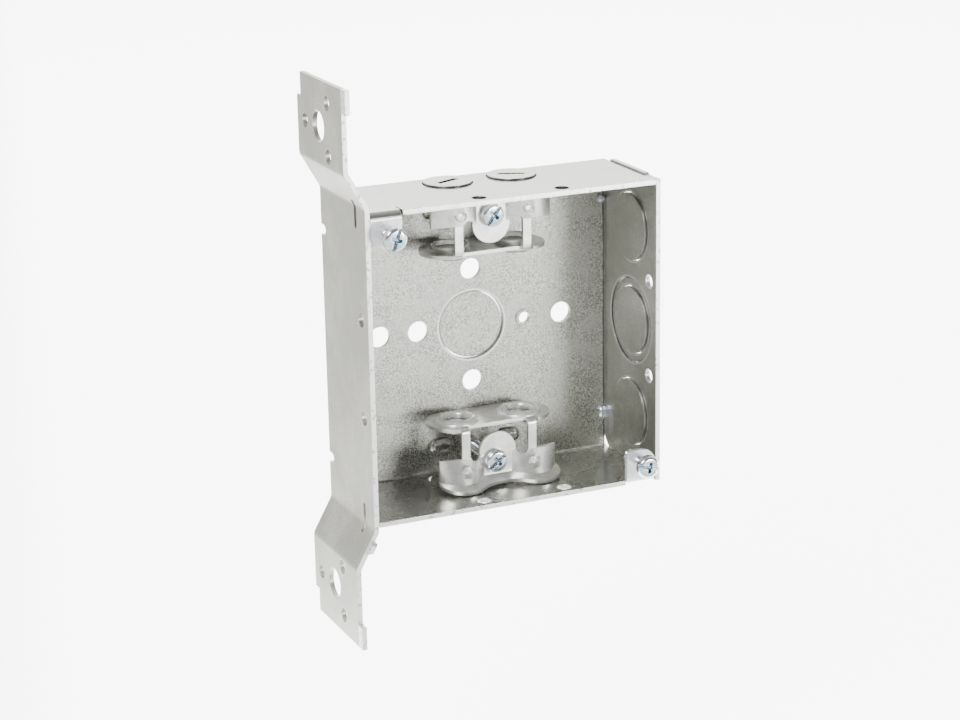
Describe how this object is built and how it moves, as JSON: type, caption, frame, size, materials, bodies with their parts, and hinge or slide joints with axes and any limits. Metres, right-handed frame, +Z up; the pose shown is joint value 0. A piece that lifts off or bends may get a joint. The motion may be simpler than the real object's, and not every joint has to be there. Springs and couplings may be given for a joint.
{
  "type": "switch box",
  "caption": "Square pressed steel wall box with a stud bracket, knockouts, two cable clamps and cover screws.",
  "frame": {"origin": "centre of the back wall's outer face, midway between the two vertical screw holes", "axes": "+X to the right seen from the open front, +Y into the wall behind, +Z up; the front opens to -Y"},
  "size_m": [0.1085, 0.0461, 0.1796],
  "materials": {
    "box_shell": "galvanised, semi-bright",
    "right_side_wall": "galvanised, semi-bright",
    "bracket_side_wall": "galvanised, semi-bright",
    "upper_cable_clamp": "galvanised, semi-bright",
    "lower_cable_clamp": "galvanised, semi-bright",
    "upper_clamp_screw": "zinc plated, bright",
    "lower_clamp_screw": "zinc plated, bright",
    "cover_screw_upper_left": "zinc plated, bright",
    "cover_screw_lower_right": "zinc plated, bright"
  },
  "bodies": {
    "box": {"box_shell": "box_shell", "right_side_wall": "right_side_wall", "bracket_side_wall": "bracket_side_wall"},
    "upper_clamp": {"upper_cable_clamp": "upper_cable_clamp"},
    "lower_clamp": {"lower_cable_clamp": "lower_cable_clamp"},
    "upper_clamp_fastener": {"upper_clamp_screw": "upper_clamp_screw"},
    "lower_clamp_fastener": {"lower_clamp_screw": "lower_clamp_screw"},
    "upper_left_cover_fastener": {"cover_screw_upper_left": "cover_screw_upper_left"},
    "lower_right_cover_fastener": {"cover_screw_lower_right": "cover_screw_lower_right"}
  },
  "joints": [
    {"name": "upper_clamp_slide", "type": "slide", "parent": "box", "child": "upper_clamp", "axis": [0, -1, 0], "range_m": [0, 0.006]},
    {"name": "lower_clamp_slide", "type": "slide", "parent": "box", "child": "lower_clamp", "axis": [0, -1, 0], "range_m": [0, 0.006]},
    {"name": "upper_clamp_screw_slide", "type": "slide", "parent": "box", "child": "upper_clamp_fastener", "axis": [0, -1, 0], "range_m": [0, 0.006]},
    {"name": "lower_clamp_screw_slide", "type": "slide", "parent": "box", "child": "lower_clamp_fastener", "axis": [0, -1, 0], "range_m": [0, 0.006]},
    {"name": "upper_left_cover_screw_slide", "type": "slide", "parent": "box", "child": "upper_left_cover_fastener", "axis": [0, 1, 0], "range_m": [-0.0065, 0.0047]},
    {"name": "lower_right_cover_screw_slide", "type": "slide", "parent": "box", "child": "lower_right_cover_fastener", "axis": [0, 1, 0], "range_m": [-0.0065, 0.0047]}
  ],
  "couplings": [
    {"joint": "upper_clamp_screw_slide", "follows": "upper_clamp_slide", "ratio": 1},
    {"joint": "lower_clamp_screw_slide", "follows": "lower_clamp_slide", "ratio": 1}
  ]
}
